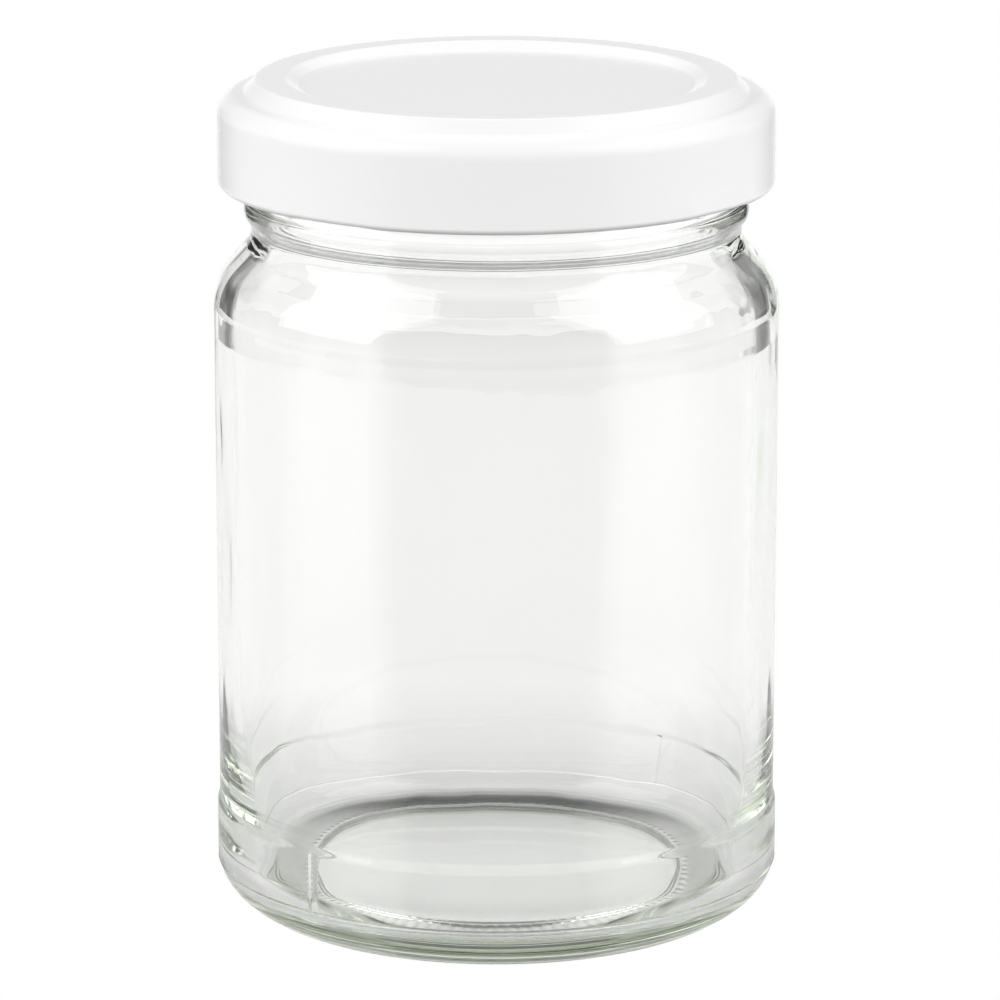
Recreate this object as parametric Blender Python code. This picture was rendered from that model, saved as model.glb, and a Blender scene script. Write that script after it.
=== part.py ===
"""Preserving jar with a twist-off lid.

A round glass jar, the lacquered tinplate shell of its four-lug lid, and the ring of sealing
compound that was flowed into the lid's channel. Metres, +Z up, the origin under the middle of
the base. The lid is seated with its lugs in the gaps between the threads of the glass.
"""
import math

import bmesh
import bpy

# Turning and fit
FACETS = 60                       # flats round each turned piece
MERGE_DISTANCE = 0.000001
FIT_CLEARANCE = 0.0003            # between two pieces that touch

# Glass body, from the label panel outward and inward
PANEL_RADIUS = 0.03545            # recessed label panel
SHOULDER_RAISE = 0.00018          # the shoulder stands proud of the panel
HEEL_RAISE = 0.0003               # and so does the band round the heel
WALL = 0.0026
PANEL_FOOT_Z = 0.0147
PANEL_HEIGHT = 0.0613
PANEL_EDGE = 0.0008               # height of the small slope at each end of the panel

# Glass base
HEEL_WIDTH = 0.01055              # from the heel band in to the flat ring that it stands on
HEEL_HEIGHT = 0.0078
BEARING_WIDTH = 0.0010
PUSH_UP = 0.0016                  # how far the middle of the base is domed up
PUSH_UP_EDGE = 0.0013             # step at the rim of the dome
BASE_THICKNESS = 0.0052           # glass over the bearing ring
FLOOR_CROWN = 0.0007              # the floor inside rises this much to its middle
FLOOR_CORNER_WIDTH = 0.0016       # the tight round corner between the floor and the wall
FLOOR_CORNER_HEIGHT = 0.0038
FOOT_THICKENING = 0.0017          # the wall grows this much thicker towards that corner
FOOT_THICKENING_HEIGHT = 0.0215
THICKENING_STEPS = 6

# Glass shoulder, neck and transfer bead
FINISH_INSET = 0.00415            # from the label panel in to the finish
SHOULDER_RISE = 0.00263           # straight band between the panel and the shoulder's arc
SHOULDER_ARC_RADIUS = 0.00865
SHOULDER_SLOPE = math.radians(40.2)
NECK_SINK = 0.00046               # the neck groove lies inside the finish
NECK_FILLET = 0.00313
NECK_GROOVE_HEIGHT = 0.0012
BEAD_RAISE = 0.00045
BEAD_HEIGHT = 0.0028
BEAD_ROUND = 0.0005

# Glass finish, which the lid closes on
FINISH_HEIGHT = 0.0132            # from the bead up to the crown of the lip
FINISH_WALL = 0.0028
LIP_OUTER_SHARE = 0.5             # of the wall that each rounding of the lip takes
LIP_INNER_SHARE = 0.36
THREAD_RAISE = 0.0015
THREAD_START = math.radians(20.0) # from the middle of a gap, clockwise from above
THREAD_SPAN = math.radians(50.0)
THREAD_RUN_OUT = math.radians(7.0)
THREAD_FALL = 0.0017              # how far a thread slopes down along its length
THREAD_HEIGHT = 0.0019
THREAD_FACE = 0.0007
THREAD_UNDERCUT = 0.0002
THREAD_ROOT = 0.0008              # how deep a thread's foot lies in the glass
THREAD_STEPS = 10

# Lid shell
STARTS = 4                        # lugs on the lid, and threads on the glass
FIRST_LUG_ANGLE = math.radians(-126.0)
PLATE = 0.0002                    # tinplate with its lacquer
CURL_CLEARANCE = 0.0005           # from the threads out to the rolled lower edge
CURL_SECTION = 0.0017             # thickness of that edge
LID_HEIGHT = 0.01345
LEDGE_WIDTH = 0.00058             # between the raised ring and the round corner
LEDGE_FALL = 0.00023
CORNER_HEIGHT = 0.00255
STEP_OVERHANG = 0.00031           # foot of the raised ring, outside the finish
STEP_DROP = 0.00165
CREST_SETBACK = 0.0012            # outer edge of the ring's flat top, inside the finish
CREST_REACH = 0.0020              # and its inner edge, inside the mouth
CREST_ROUND = 0.0006
PANEL_SLOPE_WIDTH = 0.0017        # from the ring down to the sunk middle of the lid
PANEL_SINK = 0.0009
LUG_CLEARANCE = 0.0006            # from the finish out to the tip of a lug
LUG_HALF_ANGLE = math.radians(12.0)
LUG_FLAT_SHARE = 0.5
LUG_DENT_SHARE = 0.45             # how much of the reach shows outside the skirt
LUG_DENT_HEIGHT = 0.0034

# Sealing compound
SEAL_THICKNESS = 0.0010
SEAL_REACH = 0.0013               # how far it runs in past the mouth of the glass
SEAL_SETBACK = 0.0010             # how far it stays inside the finish

# Radii
HEEL_BAND_RADIUS = PANEL_RADIUS + HEEL_RAISE
SHOULDER_RADIUS = PANEL_RADIUS + SHOULDER_RAISE
INNER_RADIUS = PANEL_RADIUS - WALL
FINISH_RADIUS = PANEL_RADIUS - FINISH_INSET
MOUTH_RADIUS = FINISH_RADIUS - FINISH_WALL
NECK_RADIUS = FINISH_RADIUS - NECK_SINK
THREAD_RADIUS = FINISH_RADIUS + THREAD_RAISE
CURL_INNER_RADIUS = THREAD_RADIUS + CURL_CLEARANCE
LID_RADIUS = CURL_INNER_RADIUS + CURL_SECTION
LUG_REACH = CURL_INNER_RADIUS - FINISH_RADIUS - LUG_CLEARANCE

# Heights
PANEL_HEAD_Z = PANEL_FOOT_Z + PANEL_HEIGHT
SHOULDER_ARC_Z = PANEL_HEAD_Z + SHOULDER_RISE
ARC_TOP_RADIUS = SHOULDER_RADIUS - SHOULDER_ARC_RADIUS * (1 - math.cos(SHOULDER_SLOPE))
ARC_TOP_Z = SHOULDER_ARC_Z + SHOULDER_ARC_RADIUS * math.sin(SHOULDER_SLOPE)
FILLET_FOOT_RADIUS = NECK_RADIUS + NECK_FILLET * (1 - math.cos(SHOULDER_SLOPE))
FILLET_FOOT_Z = ARC_TOP_Z + (ARC_TOP_RADIUS - FILLET_FOOT_RADIUS) / math.tan(SHOULDER_SLOPE)
NECK_Z = FILLET_FOOT_Z + NECK_FILLET * math.sin(SHOULDER_SLOPE)
BEAD_Z = NECK_Z + NECK_GROOVE_HEIGHT
GLASS_HEIGHT = BEAD_Z + BEAD_HEIGHT + FINISH_HEIGHT
CREST_Z = GLASS_HEIGHT + FIT_CLEARANCE + SEAL_THICKNESS + FIT_CLEARANCE + PLATE
LID_FOOT_Z = CREST_Z - LID_HEIGHT
LUG_TOP_Z = LID_FOOT_Z + CURL_SECTION


def clear_scene():
    for thing in list(bpy.data.objects):
        bpy.data.objects.remove(thing, do_unlink=True)


def arc(centre, size, start, end, steps):
    """Points (r, z) on an elliptical arc; angles in degrees, 0 outward and 90 up."""
    points = []
    for step in range(steps + 1):
        angle = math.radians(start + (end - start) * step / steps)
        r = centre[0] + size[0] * math.cos(angle)
        z = centre[1] + size[1] * math.sin(angle)
        points.append((r, z))
    return points


def beside(line, distance):
    """The same line moved sideways, to the right of its direction."""
    normals = []
    for (r0, z0), (r1, z1) in zip(line, line[1:]):
        length = math.hypot(r1 - r0, z1 - z0)
        normals.append(((z1 - z0) / length, (r0 - r1) / length))
    moved = []
    for index, (r, z) in enumerate(line):
        before = normals[max(index - 1, 0)]
        after = normals[min(index, len(normals) - 1)]
        stretch = 1 + before[0] * after[0] + before[1] * after[1]
        shift_r = distance * (before[0] + after[0]) / stretch
        shift_z = distance * (before[1] + after[1]) / stretch
        moved.append((r + shift_r, z + shift_z))
    return moved


def height_on(line, radius):
    """Height of a line at a radius; the line runs outward."""
    for (r0, z0), (r1, z1) in zip(line, line[1:]):
        if r0 <= radius <= r1:
            return z0 + (z1 - z0) * (radius - r0) / (r1 - r0)
    return line[-1][1]


def material(name, colour, roughness, transmission=0.0, ior=1.5):
    finish = bpy.data.materials.new(name)
    finish.use_nodes = True
    shader = finish.node_tree.nodes["Principled BSDF"]
    shader.inputs["Base Color"].default_value = (*colour, 1.0)
    shader.inputs["Roughness"].default_value = roughness
    shader.inputs["Metallic"].default_value = 0.0
    shader.inputs["Transmission Weight"].default_value = transmission
    shader.inputs["IOR"].default_value = ior
    return finish


def turned(name, outline, finish, closed=False):
    """Spin an outline of (r, z) points about the Z axis into one closed body."""
    mesh = bpy.data.meshes.new(name)
    body = bmesh.new()
    corners = [body.verts.new((r, 0.0, z)) for r, z in outline]
    edges = [body.edges.new(pair) for pair in zip(corners, corners[1:])]
    if closed:
        edges.append(body.edges.new((corners[-1], corners[0])))
    bmesh.ops.spin(body, geom=corners + edges, cent=(0, 0, 0), axis=(0, 0, 1),
                   angle=math.tau, steps=FACETS, use_merge=True)
    bmesh.ops.remove_doubles(body, verts=body.verts, dist=MERGE_DISTANCE)
    bmesh.ops.recalc_face_normals(body, faces=body.faces)
    body.to_mesh(mesh)
    body.free()
    mesh.materials.append(finish)
    piece = bpy.data.objects.new(name, mesh)
    bpy.context.scene.collection.objects.link(piece)
    return piece


def smooth(piece):
    piece.data.shade_smooth()
    piece.data.set_sharp_from_angle(angle=math.radians(35))


def gap_angle(index):
    """Direction of the middle of a gap between two threads, where a lug sits."""
    return FIRST_LUG_ANGLE + index * math.tau / STARTS


def glass_outside():
    """Outside of the glass from the middle of the base up to the crown of the lip."""
    bearing_outer = HEEL_BAND_RADIUS - HEEL_WIDTH
    bearing_inner = bearing_outer - BEARING_WIDTH
    dome_radius = bearing_inner - PUSH_UP_EDGE / 2
    line = [(0.0, PUSH_UP)]
    line += arc((0.0, PUSH_UP_EDGE), (dome_radius, PUSH_UP - PUSH_UP_EDGE), 60, 0, 3)
    line += [(bearing_inner, 0.0)]
    line += arc((bearing_outer, HEEL_HEIGHT), (HEEL_WIDTH, HEEL_HEIGHT), -90, 0, 8)
    line += [(HEEL_BAND_RADIUS, PANEL_FOOT_Z - PANEL_EDGE), (PANEL_RADIUS, PANEL_FOOT_Z)]
    line += [(PANEL_RADIUS, PANEL_HEAD_Z - PANEL_EDGE), (SHOULDER_RADIUS, PANEL_HEAD_Z)]
    slope = math.degrees(SHOULDER_SLOPE)
    line += arc((SHOULDER_RADIUS - SHOULDER_ARC_RADIUS, SHOULDER_ARC_Z),
                (SHOULDER_ARC_RADIUS, SHOULDER_ARC_RADIUS), 0, slope, 5)
    line += arc((NECK_RADIUS + NECK_FILLET, NECK_Z), (NECK_FILLET, NECK_FILLET), 180 + slope, 180, 3)
    bead_radius = FINISH_RADIUS + BEAD_RAISE
    bead_top_z = BEAD_Z + BEAD_HEIGHT
    line += arc((bead_radius - BEAD_ROUND, BEAD_Z + BEAD_ROUND), (BEAD_ROUND, BEAD_ROUND), -60, 0, 2)
    line += arc((FINISH_RADIUS, bead_top_z - BEAD_ROUND), (BEAD_RAISE, BEAD_ROUND), 0, 90, 3)
    lip = FINISH_WALL * LIP_OUTER_SHARE
    line += arc((FINISH_RADIUS - lip, GLASS_HEIGHT - lip), (lip, lip), 0, 90, 4)
    return line


def glass_inside():
    """Inside of the glass from the crown of the lip down to the middle of the floor."""
    lip = FINISH_WALL * LIP_INNER_SHARE
    line = arc((MOUTH_RADIUS + lip, GLASS_HEIGHT - lip), (lip, lip), 90, 180, 3)
    slope = math.degrees(SHOULDER_SLOPE)
    bend = SHOULDER_ARC_RADIUS - WALL
    fillet = NECK_FILLET + WALL
    shoulder = arc((INNER_RADIUS - bend, SHOULDER_ARC_Z), (bend, bend), slope, 0, 4)
    fillet_radius = MOUTH_RADIUS + fillet
    foot_radius = fillet_radius - fillet * math.cos(SHOULDER_SLOPE)
    foot_z = shoulder[0][1] + (shoulder[0][0] - foot_radius) / math.tan(SHOULDER_SLOPE)
    neck_z = foot_z + fillet * math.sin(SHOULDER_SLOPE)
    line += arc((fillet_radius, neck_z), (fillet, fillet), 180, 180 + slope, 4)
    line += shoulder
    corner_z = BASE_THICKNESS + FLOOR_CORNER_HEIGHT
    for step in range(THICKENING_STEPS):
        share = step / THICKENING_STEPS
        line.append((INNER_RADIUS - FOOT_THICKENING * share * share,
                     corner_z + FOOT_THICKENING_HEIGHT * (1 - share)))
    floor_radius = INNER_RADIUS - FOOT_THICKENING - FLOOR_CORNER_WIDTH
    line += arc((floor_radius, corner_z), (FLOOR_CORNER_WIDTH, FLOOR_CORNER_HEIGHT), 0, -90, 5)
    line += arc((0.0, BASE_THICKNESS), (floor_radius, FLOOR_CROWN), 0, 90, 3)[1:]
    return line


def thread(name, gap):
    """One sloping thread, its foot and both its ends buried in the wall of the finish."""
    mesh = bpy.data.meshes.new(name)
    body = bmesh.new()
    rings = []
    root_radius = FINISH_RADIUS - THREAD_ROOT
    end_radius = FINISH_RADIUS - THREAD_ROOT / 2
    low_z = LUG_TOP_Z + FIT_CLEARANCE - THREAD_UNDERCUT
    for step in range(THREAD_STEPS + 1):
        along = step / THREAD_STEPS
        from_end = min(along, 1 - along) * THREAD_SPAN
        rise = min(1.0, from_end / THREAD_RUN_OUT)
        rise = rise * rise * (3 - 2 * rise)
        crest_radius = end_radius + (THREAD_RADIUS - end_radius) * rise
        under_z = low_z + THREAD_FALL * (1 - along)
        face_z = under_z + THREAD_UNDERCUT
        section = [(root_radius, under_z), (crest_radius, face_z),
                   (crest_radius, face_z + THREAD_FACE), (root_radius, under_z + THREAD_HEIGHT)]
        angle = gap - THREAD_START - along * THREAD_SPAN
        rings.append([body.verts.new((r * math.cos(angle), r * math.sin(angle), z))
                      for r, z in section])
    for ring, following in zip(rings, rings[1:]):
        for corner in range(len(ring)):
            after = (corner + 1) % len(ring)
            body.faces.new((ring[corner], ring[after], following[after], following[corner]))
    body.faces.new(rings[0])
    body.faces.new(rings[-1])
    bmesh.ops.recalc_face_normals(body, faces=body.faces)
    body.to_mesh(mesh)
    body.free()
    ridge = bpy.data.objects.new(name, mesh)
    bpy.context.scene.collection.objects.link(ridge)
    ridge.hide_render = True
    ridge.display_type = "WIRE"
    return ridge


def make_glass_jar():
    glass = material("soda_lime_glass", (0.93, 0.97, 0.94), 0.02, transmission=1.0, ior=1.52)
    jar = turned("glass_jar", glass_outside() + glass_inside(), glass)
    for index in range(STARTS):
        union = jar.modifiers.new("union_%d" % index, "BOOLEAN")
        union.operation = "UNION"
        union.solver = "EXACT"
        union.object = thread("thread_%d" % index, gap_angle(index))
    smooth(jar)


def lid_top():
    """Outside of the shell from the middle of its sunk panel out to the top of the skirt."""
    ring_inner = MOUTH_RADIUS - CREST_REACH
    ring_outer = FINISH_RADIUS - CREST_SETBACK
    step_radius = FINISH_RADIUS + STEP_OVERHANG
    step_z = CREST_Z - STEP_DROP
    corner_width = LID_RADIUS - step_radius - LEDGE_WIDTH
    corner_z = step_z - LEDGE_FALL - CORNER_HEIGHT
    edge_z = CREST_Z - CREST_ROUND / 3
    line = [(0.0, CREST_Z - PANEL_SINK), (ring_inner - PANEL_SLOPE_WIDTH, CREST_Z - PANEL_SINK)]
    line += [(ring_inner, edge_z), (ring_inner + CREST_ROUND, CREST_Z)]
    line += [(ring_outer - CREST_ROUND, CREST_Z), (ring_outer, edge_z), (step_radius, step_z)]
    line += arc((LID_RADIUS - corner_width, corner_z), (corner_width, CORNER_HEIGHT), 90, 0, 6)
    return line


def make_lid_shell():
    lacquer = material("white_lacquered_tinplate", (0.87, 0.87, 0.88), 0.22)
    curl = CURL_SECTION / 2
    curl_centre = (LID_RADIUS - curl, LID_FOOT_Z + curl)
    dent_top_z = LID_FOOT_Z + LUG_DENT_HEIGHT
    top = lid_top()
    outline = top + [(LID_RADIUS, dent_top_z)]
    outline += arc(curl_centre, (curl, curl), 0, -180, 6)
    outline += arc(curl_centre, (curl, curl), 180, 90, 3)[1:-1]
    outline += [(LID_RADIUS - PLATE, LUG_TOP_Z), (LID_RADIUS - PLATE, dent_top_z)]
    outline += reversed(beside(top, PLATE))
    shell = turned("lid_shell", outline, lacquer)
    press_lugs(shell, dent_top_z)
    smooth(shell)


def press_lugs(shell, dent_top_z):
    """Press the rolled edge inward at each lug, deepest on its inner side."""
    for vertex in shell.data.vertices:
        x, y, z = vertex.co
        if z > dent_top_z - MERGE_DISTANCE:
            continue
        radius = math.hypot(x, y)
        turn = math.atan2(y, x)
        across = min(abs(math.remainder(turn - gap_angle(index), math.tau)) for index in range(STARTS))
        press = (LUG_HALF_ANGLE - across) / (LUG_HALF_ANGLE * (1 - LUG_FLAT_SHARE))
        inward = (LID_RADIUS - radius) / CURL_SECTION
        depth = LUG_REACH * (LUG_DENT_SHARE + (1 - LUG_DENT_SHARE) * inward)
        scale = 1 - depth * min(1.0, max(0.0, press)) / radius
        vertex.co = (x * scale, y * scale, z)


def make_lid_seal():
    compound = material("sealing_compound", (0.86, 0.84, 0.78), 0.55)
    roof = beside(lid_top(), PLATE + FIT_CLEARANCE)
    bottom_z = GLASS_HEIGHT + FIT_CLEARANCE
    inner_radius = MOUTH_RADIUS - SEAL_REACH
    outer_radius = FINISH_RADIUS - SEAL_SETBACK
    outline = [(inner_radius, bottom_z), (inner_radius, height_on(roof, inner_radius))]
    outline += [(r, z) for r, z in roof if inner_radius < r < outer_radius]
    outline += [(outer_radius, height_on(roof, outer_radius)), (outer_radius, bottom_z)]
    seal = turned("lid_seal", outline, compound, closed=True)
    smooth(seal)


clear_scene()
make_glass_jar()
make_lid_shell()
make_lid_seal()
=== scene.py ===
"""Looks of a preserving jar with a white twist-off lid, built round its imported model."""
import math

import bpy
import numpy as np
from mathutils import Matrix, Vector


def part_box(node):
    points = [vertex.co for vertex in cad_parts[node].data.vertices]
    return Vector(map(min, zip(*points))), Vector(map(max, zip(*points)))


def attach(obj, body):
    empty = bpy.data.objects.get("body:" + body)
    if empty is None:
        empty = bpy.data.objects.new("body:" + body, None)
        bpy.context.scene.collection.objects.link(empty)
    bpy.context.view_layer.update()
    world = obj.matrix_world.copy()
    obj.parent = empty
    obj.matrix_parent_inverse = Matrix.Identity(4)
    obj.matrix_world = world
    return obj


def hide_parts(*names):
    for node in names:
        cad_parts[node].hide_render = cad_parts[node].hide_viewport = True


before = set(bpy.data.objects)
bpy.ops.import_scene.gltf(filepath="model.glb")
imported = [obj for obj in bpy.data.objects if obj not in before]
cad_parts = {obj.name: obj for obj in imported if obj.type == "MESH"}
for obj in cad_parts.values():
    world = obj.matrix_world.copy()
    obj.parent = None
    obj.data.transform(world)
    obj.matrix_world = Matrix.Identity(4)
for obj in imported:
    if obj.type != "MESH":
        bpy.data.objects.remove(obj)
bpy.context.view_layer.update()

# Camera
# A long lens a little above the jar, as for a catalogue picture. The jar stands slightly left of
# the middle of the frame.
CAMERA_TILT = math.radians(13.75)
CAMERA_DISTANCE = 0.8182
AIM_RIGHT = 0.00044
AIM_HEIGHT = 0.0530
SENSOR_MILLIMETRES = 36.0
FRAME_PIXELS = 1000
LENS_IN_PIXELS = 6440

camera_data = bpy.data.cameras.new("camera")
camera_data.sensor_width = SENSOR_MILLIMETRES
camera_data.lens = SENSOR_MILLIMETRES * LENS_IN_PIXELS / FRAME_PIXELS
camera = bpy.data.objects.new("camera", camera_data)
bpy.context.scene.collection.objects.link(camera)
camera_back = Vector((0.0, -math.cos(CAMERA_TILT), math.sin(CAMERA_TILT)))
camera.location = Vector((AIM_RIGHT, 0.0, AIM_HEIGHT)) + camera_back * CAMERA_DISTANCE
camera.rotation_mode = "QUATERNION"
camera.rotation_quaternion = (-camera_back).to_track_quat("-Z", "Y")
bpy.context.scene.camera = camera

# Glass jar
# One gob of soda-lime glass, pressed and then blown in a mould of two halves on a bottom plate,
# whose joints with each other stay as raised seams. The outside is true to the mould; the inside
# was never touched by one, so it is slightly uneven and thickens to a tight corner at the floor.
glass_low, glass_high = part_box("glass_jar")
HEEL_BAND_RADIUS = glass_high.x
GLASS_HEIGHT = glass_high.z
PANEL_RADIUS = HEEL_BAND_RADIUS - 0.0003
SHOULDER_RADIUS = PANEL_RADIUS + 0.00018
WALL = 0.0026
INNER_RADIUS = PANEL_RADIUS - WALL

# The base: a rounded heel, the flat ring that the jar stands on, and a middle pushed up.
HEEL_WIDTH = 0.01055
HEEL_HEIGHT = 0.0078
BEARING_OUTER_RADIUS = HEEL_BAND_RADIUS - HEEL_WIDTH
BEARING_INNER_RADIUS = BEARING_OUTER_RADIUS - 0.0010
BEARING_ROUND = 0.0002
PUSH_UP = 0.0016
PUSH_UP_EDGE = 0.0013
PUSH_UP_ROUND = 0.0003
BASE_THICKNESS = 0.0052
FLOOR_CROWN = 0.0007
FLOOR_CORNER_WIDTH = 0.0016
FLOOR_CORNER_HEIGHT = 0.0038
FOOT_THICKENING = 0.0012
FOOT_THICKENING_HEIGHT = 0.0215
FOOT_THICKENING_POWER = 1.8

# The label panel, set back a little between the heel band and the shoulder.
PANEL_FOOT_Z = 0.0147
PANEL_FOOT_EDGE = 0.0015
PANEL_FOOT_LOW_Z = PANEL_FOOT_Z - PANEL_FOOT_EDGE / 2
PANEL_FOOT_HIGH_Z = PANEL_FOOT_Z + PANEL_FOOT_EDGE / 2
PANEL_HEAD_Z = 0.0760
PANEL_HEAD_EDGE = 0.0016
PANEL_HEAD_LOW_Z = PANEL_HEAD_Z - PANEL_HEAD_EDGE / 2
PANEL_HEAD_HIGH_Z = PANEL_HEAD_Z + PANEL_HEAD_EDGE / 2
PANEL_TAPER = 0.00015

# The shoulder, the neck under its bead, and the finish with its lip.
SHOULDER_ARC_Z = PANEL_HEAD_Z + 0.00263
SHOULDER_ARC_RADIUS = 0.00865
SHOULDER_SLOPE = math.radians(40.2)
FINISH_RADIUS = PANEL_RADIUS - 0.00415
MOUTH_RADIUS = FINISH_RADIUS - 0.0028
NECK_RADIUS = FINISH_RADIUS - 0.00046
NECK_FILLET = 0.00313
BEAD_RAISE = 0.00045
BEAD_UNDERSIDE = 0.0016
BEAD_TOPSIDE = 0.0012
BEAD_Z = GLASS_HEIGHT - 0.0162
NECK_TOP_Z = BEAD_Z - 0.0012
BEAD_WIDEST_Z = BEAD_Z + BEAD_UNDERSIDE
BEAD_TOP_Z = BEAD_WIDEST_Z + BEAD_TOPSIDE
THREAD_ZONE_LOW_Z = BEAD_TOP_Z + 0.0028
THREAD_ZONE_HIGH_Z = BEAD_TOP_Z + 0.0072
LIP_OUTER_ROUND = (FINISH_RADIUS - MOUTH_RADIUS) * 0.5
LIP_INNER_ROUND = (FINISH_RADIUS - MOUTH_RADIUS) * 0.36

# The seams of the bottom plate and of the two halves of the mould.
PLATE_SEAM_Z = 0.0067
PLATE_SEAM_RAISE = 0.00010
PLATE_SEAM_HALF_TURN = 1.6
PLATE_SEAM_CLEAR_TURN = 2.0
SIDE_SEAM_ANGLE = math.radians(-129.75)
SIDE_SEAM_RAISE = 0.00018
SIDE_SEAM_WIDTH = 0.0004
SIDE_SEAM_TOP_Z = 0.0145

GLASS_SEGMENTS = 480
SAME_POINT = 0.00002


def arc(centre, size, start, end, steps):
    """Points (r, z) on an elliptical arc; angles in degrees, 0 outward and 90 up."""
    angles = np.radians(np.linspace(start, end, steps + 1))
    return np.column_stack((centre[0] + size[0] * np.cos(angles),
                            centre[1] + size[1] * np.sin(angles)))


def line(start, end, steps):
    """Points (r, z) on a straight line, both ends included."""
    return np.linspace(start, end, steps + 1)


def eased(share):
    """The same share from 0 to 1, with a soft start and a soft end."""
    return share * share * (3 - 2 * share)


def swell(start, end, steps):
    """A soft S from one point to another, upright at both ends."""
    share = np.linspace(0.0, 1.0, steps + 1)
    return np.column_stack((start[0] + (end[0] - start[0]) * eased(share),
                            start[1] + (end[1] - start[1]) * share))


def joined(*stretches):
    """One outline from several stretches, without the points that they share."""
    outline = [stretches[0][0]]
    for stretch in stretches:
        for point in stretch:
            if math.dist(point, outline[-1]) > SAME_POINT:
                outline.append(point)
    return np.array(outline)


def turned_mesh(name, outline, segments, shape):
    """Turn an outline that starts and ends on the axis; shape moves the points of each ring."""
    turn = np.arange(segments) * math.tau / segments
    radius = np.repeat(outline[1:-1, 0][:, None], segments, 1)
    height = np.repeat(outline[1:-1, 1][:, None], segments, 1)
    angle = np.repeat(turn[None, :], len(outline) - 2, 0)
    radius, height = shape(radius, height, angle)
    rings = np.stack((radius * np.cos(angle), radius * np.sin(angle), height), -1).reshape(-1, 3)
    points = np.vstack((rings, (0, 0, outline[0, 1]), (0, 0, outline[-1, 1])))
    count = len(outline) - 2
    at = np.arange(count * segments).reshape(count, segments)
    after = np.roll(at, -1, 1)
    walls = np.stack((at[:-1], after[:-1], after[1:], at[1:]), -1).reshape(-1, 4).tolist()
    first, last = count * segments, count * segments + 1
    caps = [(first, int(b), int(a)) for a, b in zip(at[0], after[0])]
    caps += [(last, int(a), int(b)) for a, b in zip(at[-1], after[-1])]
    mesh = bpy.data.meshes.new(name)
    mesh.from_pydata(points.tolist(), [], walls + caps)
    mesh.update()
    mesh.shade_smooth()
    return mesh


slope = math.degrees(SHOULDER_SLOPE)
neck_arc = arc((NECK_RADIUS + NECK_FILLET, NECK_TOP_Z), (NECK_FILLET, NECK_FILLET), 180 + slope, 180, 10)
shoulder_arc = arc((SHOULDER_RADIUS - SHOULDER_ARC_RADIUS, SHOULDER_ARC_Z),
                   (SHOULDER_ARC_RADIUS, SHOULDER_ARC_RADIUS), 0, slope, 16)
heel_centre = (BEARING_OUTER_RADIUS, HEEL_HEIGHT)
heel_size = (HEEL_WIDTH, HEEL_HEIGHT)
seam_turn = math.degrees(math.asin(PLATE_SEAM_Z / HEEL_HEIGHT - 1))
plate_seam = arc(heel_centre, heel_size, seam_turn - PLATE_SEAM_HALF_TURN,
                 seam_turn + PLATE_SEAM_HALF_TURN, 6)
plate_seam[:, 0] += PLATE_SEAM_RAISE * np.sin(np.linspace(0, math.pi, 7))
dome_radius = BEARING_INNER_RADIUS - BEARING_ROUND - PUSH_UP_ROUND
dome_share = np.linspace(0.0, 1.0, 16)
dome = np.column_stack((dome_radius * dome_share,
                        PUSH_UP_EDGE + (PUSH_UP - PUSH_UP_EDGE) * (1 - dome_share ** 2)))
outside = joined(
    dome,
    arc((dome_radius, PUSH_UP_EDGE - PUSH_UP_ROUND), (PUSH_UP_ROUND, PUSH_UP_ROUND), 90, 0, 5),
    arc((BEARING_INNER_RADIUS, BEARING_ROUND), (BEARING_ROUND, BEARING_ROUND), 180, 270, 4),
    line((BEARING_INNER_RADIUS, 0.0), (BEARING_OUTER_RADIUS, 0.0), 8),
    arc(heel_centre, heel_size, -90, -86, 6),
    arc(heel_centre, heel_size, -85, seam_turn - PLATE_SEAM_CLEAR_TURN, 20),
    plate_seam,
    arc(heel_centre, heel_size, seam_turn + PLATE_SEAM_CLEAR_TURN, 0, 6),
    swell((HEEL_BAND_RADIUS, PANEL_FOOT_LOW_Z), (PANEL_RADIUS, PANEL_FOOT_HIGH_Z), 10),
    line((PANEL_RADIUS, PANEL_FOOT_HIGH_Z), (PANEL_RADIUS + PANEL_TAPER, PANEL_HEAD_LOW_Z), 6),
    swell((PANEL_RADIUS + PANEL_TAPER, PANEL_HEAD_LOW_Z), (SHOULDER_RADIUS, PANEL_HEAD_HIGH_Z), 10),
    shoulder_arc,
    neck_arc,
    arc((NECK_RADIUS, BEAD_WIDEST_Z), (FINISH_RADIUS + BEAD_RAISE - NECK_RADIUS, BEAD_UNDERSIDE), -84, 0, 10),
    arc((FINISH_RADIUS, BEAD_WIDEST_Z), (BEAD_RAISE, BEAD_TOPSIDE), 0, 90, 6),
    line((FINISH_RADIUS, BEAD_TOP_Z), (FINISH_RADIUS, THREAD_ZONE_LOW_Z), 2),
    line((FINISH_RADIUS, THREAD_ZONE_LOW_Z), (FINISH_RADIUS, THREAD_ZONE_HIGH_Z), 16),
    arc((FINISH_RADIUS - LIP_OUTER_ROUND, GLASS_HEIGHT - LIP_OUTER_ROUND),
        (LIP_OUTER_ROUND, LIP_OUTER_ROUND), 0, 90, 8),
)
bend = SHOULDER_ARC_RADIUS - WALL
fillet = NECK_FILLET + WALL
inner_shoulder = arc((INNER_RADIUS - bend, SHOULDER_ARC_Z), (bend, bend), slope, 0, 12)
fillet_radius = MOUTH_RADIUS + fillet
fillet_foot = fillet_radius - fillet * math.cos(SHOULDER_SLOPE)
fillet_foot_z = inner_shoulder[0, 1] + (inner_shoulder[0, 0] - fillet_foot) / math.tan(SHOULDER_SLOPE)
inner_neck_z = fillet_foot_z + fillet * math.sin(SHOULDER_SLOPE)
corner_z = BASE_THICKNESS + FLOOR_CORNER_HEIGHT
foot_top_z = corner_z + FOOT_THICKENING_HEIGHT
floor_radius = INNER_RADIUS - FOOT_THICKENING - FLOOR_CORNER_WIDTH
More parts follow.
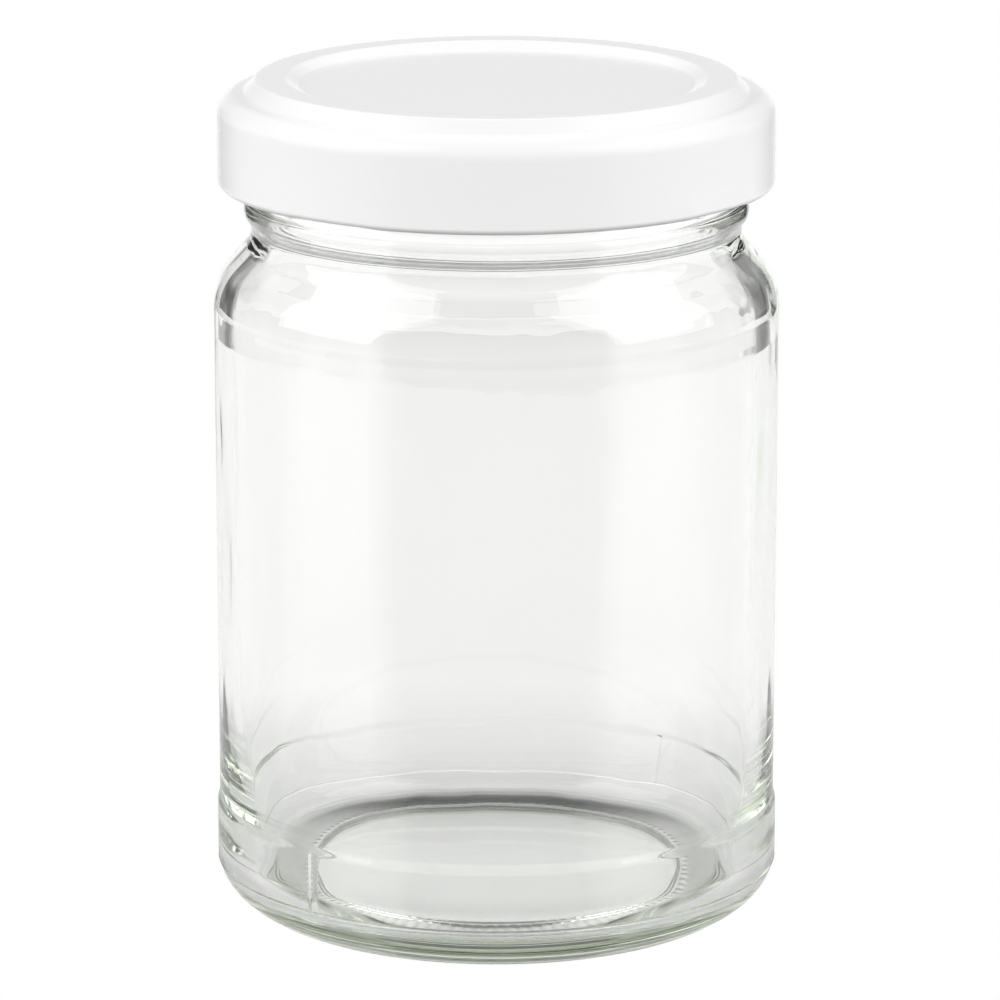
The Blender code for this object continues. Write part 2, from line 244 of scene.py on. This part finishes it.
foot_share = np.linspace(0.0, 1.0, 15)
foot_wall = np.column_stack((INNER_RADIUS - FOOT_THICKENING * foot_share ** FOOT_THICKENING_POWER,
                             foot_top_z - FOOT_THICKENING_HEIGHT * foot_share))
inside = joined(
    arc((MOUTH_RADIUS + LIP_INNER_ROUND, GLASS_HEIGHT - LIP_INNER_ROUND),
        (LIP_INNER_ROUND, LIP_INNER_ROUND), 90, 180, 6),
    line((MOUTH_RADIUS, GLASS_HEIGHT - LIP_INNER_ROUND), (MOUTH_RADIUS, inner_neck_z), 4),
    arc((fillet_radius, inner_neck_z), (fillet, fillet), 180, 180 + slope, 10),
    inner_shoulder,
    line((INNER_RADIUS, SHOULDER_ARC_Z), (INNER_RADIUS, foot_top_z), 10),
    foot_wall,
    arc((floor_radius, corner_z), (FLOOR_CORNER_WIDTH, FLOOR_CORNER_HEIGHT), 0, -90, 12),
    arc((0.0, BASE_THICKNESS), (floor_radius, FLOOR_CROWN), 0, 90, 10),
)

# Four short threads, each falling to its end, with gaps between them for the lugs of the lid.
STARTS = 4
GAP_ANGLE = math.radians(-126.0)
THREAD_START = math.radians(20.0)
THREAD_SPAN = math.radians(50.0)
THREAD_RUN_OUT = math.radians(7.0)
THREAD_LOW_Z = 0.09596
THREAD_FALL = 0.0017
THREAD_HEIGHT = 0.0019
THREAD_RAISE = 0.0015
THREAD_UNDERSIDE_SHARE = 0.16
THREAD_TOPSIDE_SHARE = 0.5


def glass_shape(radius, height, angle):
    """The four threads, and the upright seams across the heel."""
    ring = np.arange(len(radius))[:, None] + np.zeros_like(radius)
    is_outside = ring < len(outside) - 1
    along = np.mod(GAP_ANGLE - THREAD_START - angle, math.tau / STARTS) / THREAD_SPAN
    from_end = np.minimum(along, 1 - along) * THREAD_SPAN / THREAD_RUN_OUT
    rise = eased(np.clip(from_end, 0, 1))
    under = THREAD_LOW_Z + THREAD_FALL * (1 - along)
    up = (height - under) / THREAD_HEIGHT
    section = np.clip(np.minimum(up / THREAD_UNDERSIDE_SHARE, (1 - up) / THREAD_TOPSIDE_SHARE), 0, 1)
    section = np.sin(section * math.pi / 2)
    in_finish = is_outside & (height > BEAD_TOP_Z) & (height < GLASS_HEIGHT - LIP_OUTER_ROUND)
    radius = radius + np.where(in_finish, THREAD_RAISE * rise * section, 0)
    across = np.abs(np.mod(angle - SIDE_SEAM_ANGLE + math.pi / 2, math.pi) - math.pi / 2) * radius
    seam = np.clip(1 - across / SIDE_SEAM_WIDTH, 0, 1)
    on_heel = is_outside & (height > PLATE_SEAM_Z) & (height < SIDE_SEAM_TOP_Z)
    return radius + np.where(on_heel, SIDE_SEAM_RAISE * seam, 0), height


def linear(hex_colour):
    """An sRGB hex value as linear colour."""
    parts = [int(hex_colour[i:i + 2], 16) / 255 for i in (1, 3, 5)]
    return (*[p / 12.92 if p <= 0.04045 else ((p + 0.055) / 1.055) ** 2.4 for p in parts], 1.0)


def node(tree, kind, settings=(), links=()):
    """Add a node, with its settings by attribute or socket and its links from other outputs."""
    added = tree.nodes.new(kind)
    for name, value in dict(settings).items():
        if isinstance(name, str) and hasattr(added, name):
            setattr(added, name, value)
        else:
            added.inputs[name].default_value = value
    for name, source in dict(links).items():
        tree.links.new(source, added.inputs[name])
    return added


def fed(tree, added, **values):
    """Give a node's sockets numbers or other sockets; an underscore in a name stands for a space."""
    for name, value in values.items():
        socket = added.inputs[name.replace("_", " ")]
        if isinstance(value, (int, float)):
            socket.default_value = value
        else:
            tree.links.new(value, socket)
    return added


def maths(tree, operation, *values):
    """One sum on numbers and sockets."""
    added = node(tree, "ShaderNodeMath", {"operation": operation})
    for socket, value in zip(added.inputs, values):
        if isinstance(value, (int, float)):
            socket.default_value = value
        else:
            tree.links.new(value, socket)
    return added.outputs[0]


def product(tree, *values):
    """All the numbers and sockets, multiplied."""
    result = values[0]
    for value in values[1:]:
        result = maths(tree, "MULTIPLY", result, value)
    return result


def ramp(tree, value, low, high):
    """0 at low and 1 at high, with a soft step between."""
    added = node(tree, "ShaderNodeMapRange", {"interpolation_type": "SMOOTHSTEP"})
    return fed(tree, added, Value=value, From_Min=low, From_Max=high).outputs["Result"]


def fall(tree, value, low, high):
    """1 at low and 0 at high, with a soft step between."""
    return maths(tree, "SUBTRACT", 1.0, ramp(tree, value, low, high))


def blended(tree, factor, first, second):
    """One number mixed towards another by a factor."""
    added = node(tree, "ShaderNodeMix", {"data_type": "FLOAT"})
    return fed(tree, added, Factor=factor, A=first, B=second).outputs["Result"]


def soda_lime_glass():
    """Clear container glass: a sharp, clean surface, and iron that shows green only where it is thick."""
    glass = bpy.data.materials.new("soda_lime_glass")
    glass.use_nodes = True
    tree = glass.node_tree
    tree.nodes.clear()
    surface = node(tree, "ShaderNodeBsdfPrincipled", {"Base Color": linear("#FFFFFF"), "Roughness": 0.0,
                                                      "IOR": 1.52, "Transmission Weight": 1.0})
    tint = node(tree, "ShaderNodeVolumeAbsorption", {"Color": linear("#BCE77C"), "Density": 3.5})
    node(tree, "ShaderNodeOutputMaterial",
         links={"Surface": surface.outputs["BSDF"], "Volume": tint.outputs["Volume"]})
    return glass


# What the mould and the blowing leave on the surface: fine knurls on the ring that the jar stands
# on, and on the inside a slow ripple, calm near the floor, of a bore that is a little off the axis.
KNURL_COUNT = 110.0
KNURL_DEPTH = 0.00006
KNURL_INNER_RADIUS = 0.0243
KNURL_INNER_FADE = 0.0004
KNURL_OUTER_RADIUS = 0.0258
KNURL_OUTER_FADE = 0.0012
KNURL_TOP_Z = 0.002
RIPPLE = 0.0005
RIPPLE_SCALE = 75.0
RIPPLE_SEED = 3.0
RIPPLE_UPWARD_SCALE = 0.5
FLOOR_RIPPLE = 0.00015
CALM_FLOOR_Z = (0.016, 0.040)
CALM_NECK_Z = (0.086, 0.094)
BORE_SHIFT = -0.0002
BORE_SHIFT_Z = (0.008, 0.030)


def glass_surface_tree():
    """Geometry Nodes: knurls round the bearing ring, and a slow ripple of the blown inside."""
    tree = bpy.data.node_groups.new("glass_surface", "GeometryNodeTree")
    face = tree.interface
    face.new_socket("Geometry", in_out="OUTPUT", socket_type="NodeSocketGeometry")
    face.new_socket("Geometry", in_out="INPUT", socket_type="NodeSocketGeometry")
    for name in ("Knurl Count", "Knurl Depth", "Knurl Inner Radius", "Knurl Outer Radius",
                 "Ripple", "Floor Ripple", "Bore Shift"):
        face.new_socket(name, in_out="INPUT", socket_type="NodeSocketFloat")
    face.new_socket("Glass", in_out="INPUT", socket_type="NodeSocketMaterial")
    given = node(tree, "NodeGroupInput").outputs
    place = node(tree, "GeometryNodeInputPosition").outputs[0]
    split = node(tree, "ShaderNodeSeparateXYZ", links={0: place}).outputs
    radius = maths(tree, "SQRT", maths(tree, "ADD", maths(tree, "POWER", split["X"], 2.0),
                                       maths(tree, "POWER", split["Y"], 2.0)))
    angle = maths(tree, "ARCTAN2", split["Y"], split["X"])
    height = split["Z"]
    mark = node(tree, "GeometryNodeInputNamedAttribute", {"data_type": "FLOAT", "Name": "inside"})
    is_inside = mark.outputs["Attribute"]
    is_outside = maths(tree, "SUBTRACT", 1.0, is_inside)

    wave = maths(tree, "COSINE", maths(tree, "MULTIPLY", angle, given["Knurl Count"]))
    hollow = maths(tree, "ADD", maths(tree, "MULTIPLY", wave, 0.5), 0.5)
    inner_end = maths(tree, "ADD", given["Knurl Inner Radius"], KNURL_INNER_FADE)
    outer_start = maths(tree, "SUBTRACT", given["Knurl Outer Radius"], KNURL_OUTER_FADE)
    knurl = product(tree, hollow, given["Knurl Depth"],
                    ramp(tree, radius, given["Knurl Inner Radius"], inner_end),
                    fall(tree, radius, outer_start, given["Knurl Outer Radius"]),
                    maths(tree, "LESS_THAN", height, KNURL_TOP_Z), is_outside)

    stretched = node(tree, "ShaderNodeVectorMath",
                     {"operation": "MULTIPLY", 1: (1.0, 1.0, RIPPLE_UPWARD_SCALE)}, {0: place})
    slow = node(tree, "ShaderNodeTexNoise",
                {"noise_dimensions": "4D", "W": RIPPLE_SEED, "Scale": RIPPLE_SCALE, "Detail": 2.0},
                {"Vector": stretched.outputs[0]})
    below_neck = fall(tree, height, *CALM_NECK_Z)
    size = blended(tree, ramp(tree, height, *CALM_FLOOR_Z), given["Floor Ripple"], given["Ripple"])
    ripple = product(tree, maths(tree, "SUBTRACT", slow.outputs[0], 0.5), size, below_neck, is_inside)

    normal = node(tree, "GeometryNodeInputNormal").outputs[0]
    moved = maths(tree, "SUBTRACT", ripple, knurl)
    along_normal = node(tree, "ShaderNodeVectorMath", {"operation": "SCALE"}, {0: normal, "Scale": moved})
    on_wall = product(tree, ramp(tree, height, *BORE_SHIFT_Z), below_neck, is_inside)
    shift = node(tree, "ShaderNodeCombineXYZ", links={"X": product(tree, on_wall, given["Bore Shift"])})
    offset = node(tree, "ShaderNodeVectorMath", {"operation": "ADD"},
                  {0: along_normal.outputs[0], 1: shift.outputs[0]})
    set_place = node(tree, "GeometryNodeSetPosition",
                     links={"Geometry": given["Geometry"], "Offset": offset.outputs[0]})
    made = node(tree, "GeometryNodeSetMaterial",
                links={"Geometry": set_place.outputs[0], "Material": given["Glass"]})
    node(tree, "NodeGroupOutput", links={0: made.outputs[0]})
    return tree


def with_nodes(rough, tree, name, **sizes):
    """The object that a Geometry Nodes tree makes of a rough one, as a plain mesh."""
    modifier = rough.modifiers.new("nodes", "NODES")
    modifier.node_group = tree
    for socket in tree.interface.items_tree:
        if socket.in_out == "INPUT" and socket.name.replace(" ", "_") in sizes:
            modifier[socket.identifier] = sizes[socket.name.replace(" ", "_")]
    seen = rough.evaluated_get(bpy.context.evaluated_depsgraph_get())
    mesh = bpy.data.meshes.new_from_object(seen)
    rough.modifiers.remove(modifier)
    mesh.name = name
    made = bpy.data.objects.new(name, mesh)
    bpy.context.scene.collection.objects.link(made)
    bpy.data.objects.remove(rough)
    return made


glass_outline = np.vstack((outside[:-1], inside))
rough_mesh = turned_mesh("rough_glass", glass_outline, GLASS_SEGMENTS, glass_shape)
first_inside = (len(outside) - 2) * GLASS_SEGMENTS
is_inside = np.zeros(len(rough_mesh.vertices))
is_inside[first_inside:-2] = 1.0
is_inside[-1] = 1.0
rough_mesh.attributes.new("inside", "FLOAT", "POINT").data.foreach_set("value", is_inside)
rough_glass = bpy.data.objects.new("rough_glass", rough_mesh)
bpy.context.scene.collection.objects.link(rough_glass)
jar = with_nodes(rough_glass, glass_surface_tree(), "jar", Knurl_Count=KNURL_COUNT,
                 Knurl_Depth=KNURL_DEPTH, Knurl_Inner_Radius=KNURL_INNER_RADIUS,
                 Knurl_Outer_Radius=KNURL_OUTER_RADIUS, Ripple=RIPPLE, Floor_Ripple=FLOOR_RIPPLE,
                 Bore_Shift=BORE_SHIFT, Glass=soda_lime_glass())
jar.data.shade_smooth()
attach(jar, "jar")
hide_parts("glass_jar")

# Sealing compound
# A ring of soft compound, flowed as a paste into the channel under the rim of the lid and cured
# there. It is smooth, with rounded edges, and fills the channel down to the lip of the glass.
seal_low, seal_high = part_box("lid_seal")
SEAL_OUTER_RADIUS = seal_high.x
SEAL_INNER_RADIUS = MOUTH_RADIUS - 0.0013
SEAL_ROUND = 0.00025
SEAL_OUTER_DROP = SEAL_ROUND * 2.2
SEAL_INNER_LEAN = 0.0002
SEAL_SEGMENTS = 240


def ring_mesh(name, outline, segments):
    """Turn a closed outline about the axis."""
    turn = np.arange(segments) * math.tau / segments
    points = [(r * math.cos(a), r * math.sin(a), z) for a in turn for r, z in outline]
    count = len(outline)
    faces = []
    for step in range(segments):
        for index in range(count):
            after = (index + 1) % count
            here, there = step * count, (step + 1) % segments * count
            faces.append((here + index, there + index, there + after, here + after))
    mesh = bpy.data.meshes.new(name)
    mesh.from_pydata(points, [], faces)
    mesh.update()
    mesh.shade_smooth()
    return mesh


def sealing_compound():
    """Cured compound: off-white, matt and a little soft in its highlights."""
    compound = bpy.data.materials.new("sealing_compound")
    compound.use_nodes = True
    surface = compound.node_tree.nodes["Principled BSDF"]
    surface.inputs["Base Color"].default_value = linear("#E6E1D2")
    surface.inputs["Roughness"].default_value = 0.45
    surface.inputs["IOR"].default_value = 1.5
    return compound


seal_inner_centre = SEAL_INNER_RADIUS + SEAL_ROUND
seal_outer_centre = SEAL_OUTER_RADIUS - SEAL_ROUND
round_size = (SEAL_ROUND, SEAL_ROUND)
seal_outline = joined(
    arc((seal_inner_centre, seal_low.z + SEAL_ROUND), round_size, 180, 270, 5),
    arc((seal_outer_centre, seal_low.z + SEAL_ROUND), round_size, -90, 0, 5),
    arc((seal_outer_centre, seal_high.z - SEAL_OUTER_DROP), round_size, 0, 60, 4),
    arc((seal_inner_centre + SEAL_INNER_LEAN, seal_high.z - SEAL_ROUND), round_size, 90, 180, 5),
)
seal = bpy.data.objects.new("seal", ring_mesh("seal", seal_outline, SEAL_SEGMENTS))
bpy.context.scene.collection.objects.link(seal)
seal.data.materials.append(sealing_compound())
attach(seal, "seal")
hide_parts("lid_seal")

# Lid shell
# Tinplate 0.2 mm thick, printed white and lacquered as a sheet, then drawn to a cap. Its lower edge
# is curled inward, and at four places the curl is pressed in to make the lugs.
lid_low, lid_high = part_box("lid_shell")
LID_RADIUS = 0.0350
LID_FOOT_Z = lid_low.z
CREST_Z = lid_high.z
PLATE = 0.0002

# The top: a sunk panel, a raised ring, a step down to a narrow ledge, and the rounded corner.
PANEL_SINK = 0.0009
PANEL_Z = CREST_Z - PANEL_SINK
CREST_INNER_RADIUS = MOUTH_RADIUS - 0.0020
CREST_OUTER_RADIUS = FINISH_RADIUS - 0.0012
PANEL_EDGE_RADIUS = CREST_INNER_RADIUS - 0.0017
PANEL_FLAT_RADIUS = PANEL_EDGE_RADIUS - 0.002
STEP_RADIUS = FINISH_RADIUS + 0.00031
STEP_DROP = 0.00165
LEDGE_WIDTH = 0.00058
LEDGE_FALL = 0.00023
CORNER_WIDTH = LID_RADIUS - STEP_RADIUS - LEDGE_WIDTH
CORNER_HEIGHT = 0.00255
CORNER_TOP_Z = CREST_Z - STEP_DROP - LEDGE_FALL
TOP_ROUNDS = (0.0009, 0.0011, 0.0008, 0.0004)

# The curled edge and the lugs pressed in from it.
CURL_SECTION = 0.0017
CURL_ROUND = CURL_SECTION / 2
LUG_REACH = 0.0014
LUG_SKIRT_SHARE = 0.12
LUG_HALF_ANGLE = math.radians(12.0)
LUG_SIDE_ANGLE = LUG_HALF_ANGLE * 0.5
LUG_DENT_HEIGHT = 0.0034
DENT_TOP_Z = LID_FOOT_Z + LUG_DENT_HEIGHT
EDGE_SHADE = 0.40
EDGE_SHADE_HEIGHT = 0.0009
LID_SEGMENTS = 360


def rounded(corners, radii, steps):
    """A line through corners, each rounded by an arc of its own radius."""
    line_points = [corners[0]]
    for before, corner, after, radius in zip(corners, corners[1:], corners[2:], radii):
        before, corner, after = Vector(before), Vector(corner), Vector(after)
        to_before = (before - corner).normalized()
        to_after = (after - corner).normalized()
        half = to_before.angle(to_after) / 2
        reach = radius / math.tan(half)
        centre = corner + (to_before + to_after).normalized() * (radius / math.sin(half))
        start = corner + to_before * reach - centre
        end = corner + to_after * reach - centre
        for step in range(steps + 1):
            spoke = start.lerp(end, step / steps).normalized() * radius
            line_points.append(tuple(centre + spoke))
    line_points.append(corners[-1])
    return np.array(line_points)


def beside(outline, distance):
    """The same line moved sideways, to the right of its direction."""
    along = np.gradient(outline, axis=0)
    length = np.hypot(along[:, 0], along[:, 1])[:, None]
    return outline + distance * np.column_stack((along[:, 1], -along[:, 0])) / length


top_corners = [
    (0.0, PANEL_Z),
    (PANEL_EDGE_RADIUS, PANEL_Z),
    (CREST_INNER_RADIUS, CREST_Z),
    (CREST_OUTER_RADIUS, CREST_Z),
    (STEP_RADIUS, CREST_Z - STEP_DROP),
    (LID_RADIUS - CORNER_WIDTH, CORNER_TOP_Z),
]
lid_top = joined(
    line((0.0, PANEL_Z), (PANEL_FLAT_RADIUS, PANEL_Z), 8),
    rounded(top_corners, TOP_ROUNDS, 8)[1:],
    arc((LID_RADIUS - CORNER_WIDTH, CORNER_TOP_Z - CORNER_HEIGHT), (CORNER_WIDTH, CORNER_HEIGHT), 90, 0, 16),
)
lid_inside = beside(lid_top, PLATE)
lid_inside[0, 0] = 0.0
curl_centre = (LID_RADIUS - CURL_ROUND, LID_FOOT_Z + CURL_ROUND)
lid_outline = joined(
    lid_top,
    line((LID_RADIUS, CORNER_TOP_Z - CORNER_HEIGHT), (LID_RADIUS, DENT_TOP_Z), 6),
    line((LID_RADIUS, DENT_TOP_Z), (LID_RADIUS, curl_centre[1]), 8),
    arc(curl_centre, (CURL_ROUND, CURL_ROUND), 0, -180, 16),
    arc(curl_centre, (CURL_ROUND, CURL_ROUND), 180, 60, 10),
    line((LID_RADIUS - PLATE, LID_FOOT_Z + CURL_SECTION), (LID_RADIUS - PLATE, DENT_TOP_Z), 6),
    lid_inside[::-1],
)


def lid_shape(radius, height, angle):
    """Press the curl in at the four lugs."""
    across = np.abs(np.mod(angle - GAP_ANGLE + math.pi / STARTS, math.tau / STARTS) - math.pi / STARTS)
    press = eased(np.clip((LUG_HALF_ANGLE - across) / LUG_SIDE_ANGLE, 0, 1))
    down = eased(np.clip((DENT_TOP_Z - height) / (DENT_TOP_Z - LID_FOOT_Z - CURL_SECTION), 0, 1))
    inward = np.clip((LID_RADIUS - radius) / CURL_SECTION, 0, 1)
    depth = LUG_REACH * (LUG_SKIRT_SHARE + (1 - LUG_SKIRT_SHARE) * inward)
    return radius - np.where(height < DENT_TOP_Z, depth * press * down, 0), height


def white_lacquered_tinplate():
    """Gloss white lacquer: bright, with soft-edged highlights and the faintest orange peel.

    The lowest part of the curl has painted shade, so that the lid ends in a fine line against the glass.
    """
    lacquer = bpy.data.materials.new("white_lacquered_tinplate")
    lacquer.use_nodes = True
    tree = lacquer.node_tree
    surface = tree.nodes["Principled BSDF"]
    place = node(tree, "ShaderNodeTexCoord").outputs["Object"]
    peel = node(tree, "ShaderNodeTexNoise", {"Scale": 900.0, "Detail": 2.0}, {"Vector": place})
    bump = node(tree, "ShaderNodeBump", {"Strength": 0.04, "Distance": 0.0002},
                {"Height": peel.outputs["Fac"]})
    height = node(tree, "ShaderNodeSeparateXYZ", links={"Vector": place}).outputs["Z"]
    # Painted shade on the lowest part of the curl.
    over_edge = ramp(tree, height, LID_FOOT_Z, LID_FOOT_Z + EDGE_SHADE_HEIGHT)
    shaded = node(tree, "ShaderNodeVectorMath", {"operation": "SCALE", "Vector": linear("#E1E1E2")[:3]},
                  {"Scale": blended(tree, over_edge, EDGE_SHADE, 1.0)})
    tree.links.new(shaded.outputs["Vector"], surface.inputs["Base Color"])
    surface.inputs["Roughness"].default_value = 0.25
    surface.inputs["IOR"].default_value = 1.5
    tree.links.new(bump.outputs["Normal"], surface.inputs["Normal"])
    return lacquer


lid_mesh = turned_mesh("lid_shell", lid_outline, LID_SEGMENTS, lid_shape)
lid = bpy.data.objects.new("lid", lid_mesh)
bpy.context.scene.collection.objects.link(lid)
lid_mesh.materials.append(white_lacquered_tinplate())
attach(lid, "lid")
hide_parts("lid_shell")

# Floor
# A glossy white acrylic table with shade painted into its colour: a painted contact shade, darkest
# in the narrow gap under the back of the heel, bright under the clear base, and a painted fall-off
# that grows slowly brighter away from the jar. Seen straight on it is white, as in a picture that
# is lit to lose it.
TABLE_RADIUS = 0.40
TABLE_Z = -0.0002
TABLE_SIDES = 96
TABLE_SHEEN = 0.55
# Painted shade: greys of the table by distance, a fall-off of light and a contact shade under the heel.
TABLE_SHADE_TONES = ((0.0, 0.60), (0.045, 0.65), (0.075, 0.73), (0.100, 0.84), (0.155, 0.87), (0.217, 0.89),
               (0.33, 0.93))
CONTACT_SHADE_TONES = ((0.0, 0.95), (0.0249, 0.90), (0.0253, 0.0), (0.0292, 0.0), (0.0306, 0.45), (0.032, 0.60))
CONTACT_SHADE_RADIUS = CONTACT_SHADE_TONES[-1][0]
CONTACT_SHADE_BACK_Y = (0.008, 0.026)
CONTACT_SHADE_FRONT_SHARE = 0.28
CONTACT_SHADE_FRONT_TONE = 0.90
GLOW_RADIUS = 0.0238
GLOW_Y = (-0.022, 0.006)
GLOW_STRENGTH = (0.10, 0.24)

table_mesh = bpy.data.meshes.new("table")
rim = [(TABLE_RADIUS * math.cos(a), TABLE_RADIUS * math.sin(a), TABLE_Z)
       for a in np.linspace(0, math.tau, TABLE_SIDES, endpoint=False)]
table_mesh.from_pydata(rim, [], [tuple(range(TABLE_SIDES))])
table = bpy.data.objects.new("table", table_mesh)
bpy.context.scene.collection.objects.link(table)


def tones(tree, distance, stops):
    """Grey by distance, from stops of (distance, grey); the last grey holds beyond the last stop."""
    reach = stops[-1][0]
    made = node(tree, "ShaderNodeValToRGB", links={"Fac": maths(tree, "DIVIDE", distance, reach)})
    elements = made.color_ramp.elements
    for radius, _ in stops[1:-1]:
        elements.new(radius / reach)
    for element, (_, tone) in zip(elements, stops):
        element.color = (tone, tone, tone, 1.0)
    return made.outputs["Color"]


def white_acrylic():
    """Polished acrylic: white with painted shade, and a clean sheen that is weaker where that shade is
    painted.
    """
    acrylic = bpy.data.materials.new("white_acrylic")
    acrylic.use_nodes = True
    tree = acrylic.node_tree
    sheet = tree.nodes["Principled BSDF"]
    place = node(tree, "ShaderNodeTexCoord").outputs["Object"]
    distance = node(tree, "ShaderNodeVectorMath", {"operation": "LENGTH"}, {0: place}).outputs["Value"]
    back = node(tree, "ShaderNodeSeparateXYZ", links={0: place}).outputs["Y"]

    # Painted shade in the base colour: the contact shade, deepest behind the jar, and the painted fall-off.
    shade = blended(tree, ramp(tree, back, *CONTACT_SHADE_BACK_Y), CONTACT_SHADE_FRONT_SHARE, 1.0)
    near = blended(tree, shade, CONTACT_SHADE_FRONT_TONE, tones(tree, distance, CONTACT_SHADE_TONES))
    is_near = maths(tree, "LESS_THAN", distance, CONTACT_SHADE_RADIUS)
    ground = blended(tree, is_near, tones(tree, distance, TABLE_SHADE_TONES), near)
    tree.links.new(ground, sheet.inputs["Base Color"])
    # The sheen is dimmed by the same painted shade.
    tree.links.new(product(tree, ground, TABLE_SHEEN), sheet.inputs["Specular IOR Level"])
    sheet.inputs["Roughness"].default_value = 0.12

    # Painted light: the table glows under the jar, standing in for light that falls through the jar, which a
    # path tracer hardly finds through clear glass.
    under_jar = maths(tree, "LESS_THAN", distance, GLOW_RADIUS)
    glow = product(tree, under_jar, blended(tree, ramp(tree, back, *GLOW_Y), *GLOW_STRENGTH))
    sheet.inputs["Emission Color"].default_value = linear("#FFFFFF")
    tree.links.new(glow, sheet.inputs["Emission Strength"])

    lost = node(tree, "ShaderNodeEmission")
    sees = node(tree, "ShaderNodeLightPath")
    both = node(tree, "ShaderNodeMixShader", links={
        0: sees.outputs["Is Camera Ray"], 1: sheet.outputs["BSDF"], 2: lost.outputs["Emission"]})
    tree.links.new(both.outputs[0], tree.nodes["Material Output"].inputs["Surface"])
    return acrylic


table_mesh.materials.append(white_acrylic())

# Studio
# A white backdrop close behind the jar, a dark room past it and round the camera, and a large soft
# box to each side. The dark room is what draws the edges of the glass. The backdrop is plain white
# to the camera itself.
ROOM_LIGHT = 0.75
CARDS = (
    # strength, degrees from straight behind the jar, degrees over the horizon, softness of the edge
    (0.08, (130, 190), (-20, 60), 8),     # the room round the camera
    (0.08, (-10, 190), (60, 100), 8),     # its ceiling
    (0.92, (-10, 190), (-100, -20), 3),   # below the table's edge
    (0.30, (18, 46), (-20, 36), 4),       # beside the backdrop
    (0.10, (20, 36), (-12.5, 4), 3),      # the darkest corner beside it
    (0.50, (-10, 20), (5, 60), 4),        # the wall over the backdrop
    (0.15, (-10, 20), (9, 22), 3),        # the dark gap over it
    (0.97, (-10, 18), (-25, 3), 3),       # the backdrop
)

world = bpy.data.worlds.new("studio")
bpy.context.scene.world = world
world.use_nodes = True
sky = world.node_tree
sky.nodes.clear()
direction = node(sky, "ShaderNodeTexCoord")
sky_split = node(sky, "ShaderNodeSeparateXYZ", links={"Vector": direction.outputs["Generated"]}).outputs
turn_from_behind = maths(sky, "ARCTAN2", sky_split["X"], sky_split["Y"])
from_behind = maths(sky, "DEGREES", maths(sky, "ABSOLUTE", turn_from_behind))
elevation = maths(sky, "DEGREES", maths(sky, "ARCSINE", sky_split["Z"]))


def between(value, low, high, soft):
    """1 between two limits and 0 outside them, in degrees, with soft edges."""
    return product(sky, ramp(sky, value, low - soft, low + soft), fall(sky, value, high - soft, high + soft))


light = ROOM_LIGHT
for strength, turns, rises, soft in CARDS:
    cover = product(sky, between(from_behind, *turns, soft), between(elevation, *rises, soft))
    light = blended(sky, cover, light, strength)
is_camera = node(sky, "ShaderNodeLightPath").outputs["Is Camera Ray"]
glow = node(sky, "ShaderNodeBackground", {"Color": linear("#FFFFFF")},
            {"Strength": blended(sky, is_camera, light, 1.0)})
node(sky, "ShaderNodeOutputWorld", links={"Surface": glow.outputs["Background"]})

LAMP_DISTANCE = 1.4
LAMP_TARGET = Vector((0.0, 0.0, 0.06))
LAMPS = (
    # name, degrees from behind the jar, degrees up, width, height, raised by, brightness, in glass
    ("soft_box", -105, 30, 0.9, 1.2, 0.17, 1.5, True),
    ("soft_box", 105, 30, 0.9, 1.2, 0.17, 1.5, True),
    ("soft_box_spill", -105, 30, 0.9, 1.2, 0.17, 1.6, False),
    ("soft_box_spill", 105, 30, 0.9, 1.2, 0.17, 1.6, False),
    ("fill", 180, 20, 1.0, 1.0, 0.0, 1.3, False),
    ("top_fill", 180, 80, 1.0, 1.0, 0.0, 0.8, False),
    ("back_fill", 0, 45, 1.0, 0.6, 0.0, 0.8, False),
)


def lamp(name, turn, rise, width, height, raised, brightness, in_glass):
    """A flat light facing the jar; turn and rise in degrees, sizes as shares of its distance."""
    turn, rise = math.radians(turn), math.radians(rise)
    data = bpy.data.lights.new(name, "AREA")
    data.shape = "RECTANGLE"
    data.size = width * LAMP_DISTANCE
    data.size_y = height * LAMP_DISTANCE
    data.energy = brightness * math.pi * data.size * data.size_y
    made = bpy.data.objects.new(name, data)
    bpy.context.scene.collection.objects.link(made)
    toward = Vector((math.sin(turn) * math.cos(rise), math.cos(turn) * math.cos(rise), math.sin(rise)))
    upward = Vector((-toward.x * toward.z, -toward.y * toward.z, 1 - toward.z * toward.z)).normalized()
    made.rotation_mode = "QUATERNION"
    made.rotation_quaternion = toward.to_track_quat("Z", "Y")
    made.location = LAMP_TARGET + (toward + upward * raised) * LAMP_DISTANCE
    made.visible_camera = False
    made.visible_glossy = in_glass
    made.visible_transmission = in_glass


for each_lamp in LAMPS:
    lamp(*each_lamp)

# Enough bounces for light to find its way through the thick parts of the glass.
GLASS_BOUNCES = 24
bpy.context.scene.view_settings.view_transform = "Standard"
bpy.context.scene.cycles.max_bounces = GLASS_BOUNCES
bpy.context.scene.cycles.transmission_bounces = GLASS_BOUNCES
bpy.context.scene.cycles.glossy_bounces = GLASS_BOUNCES
bpy.context.scene.cycles.diffuse_bounces = 6
bpy.context.scene.cycles.blur_glossy = 0.0
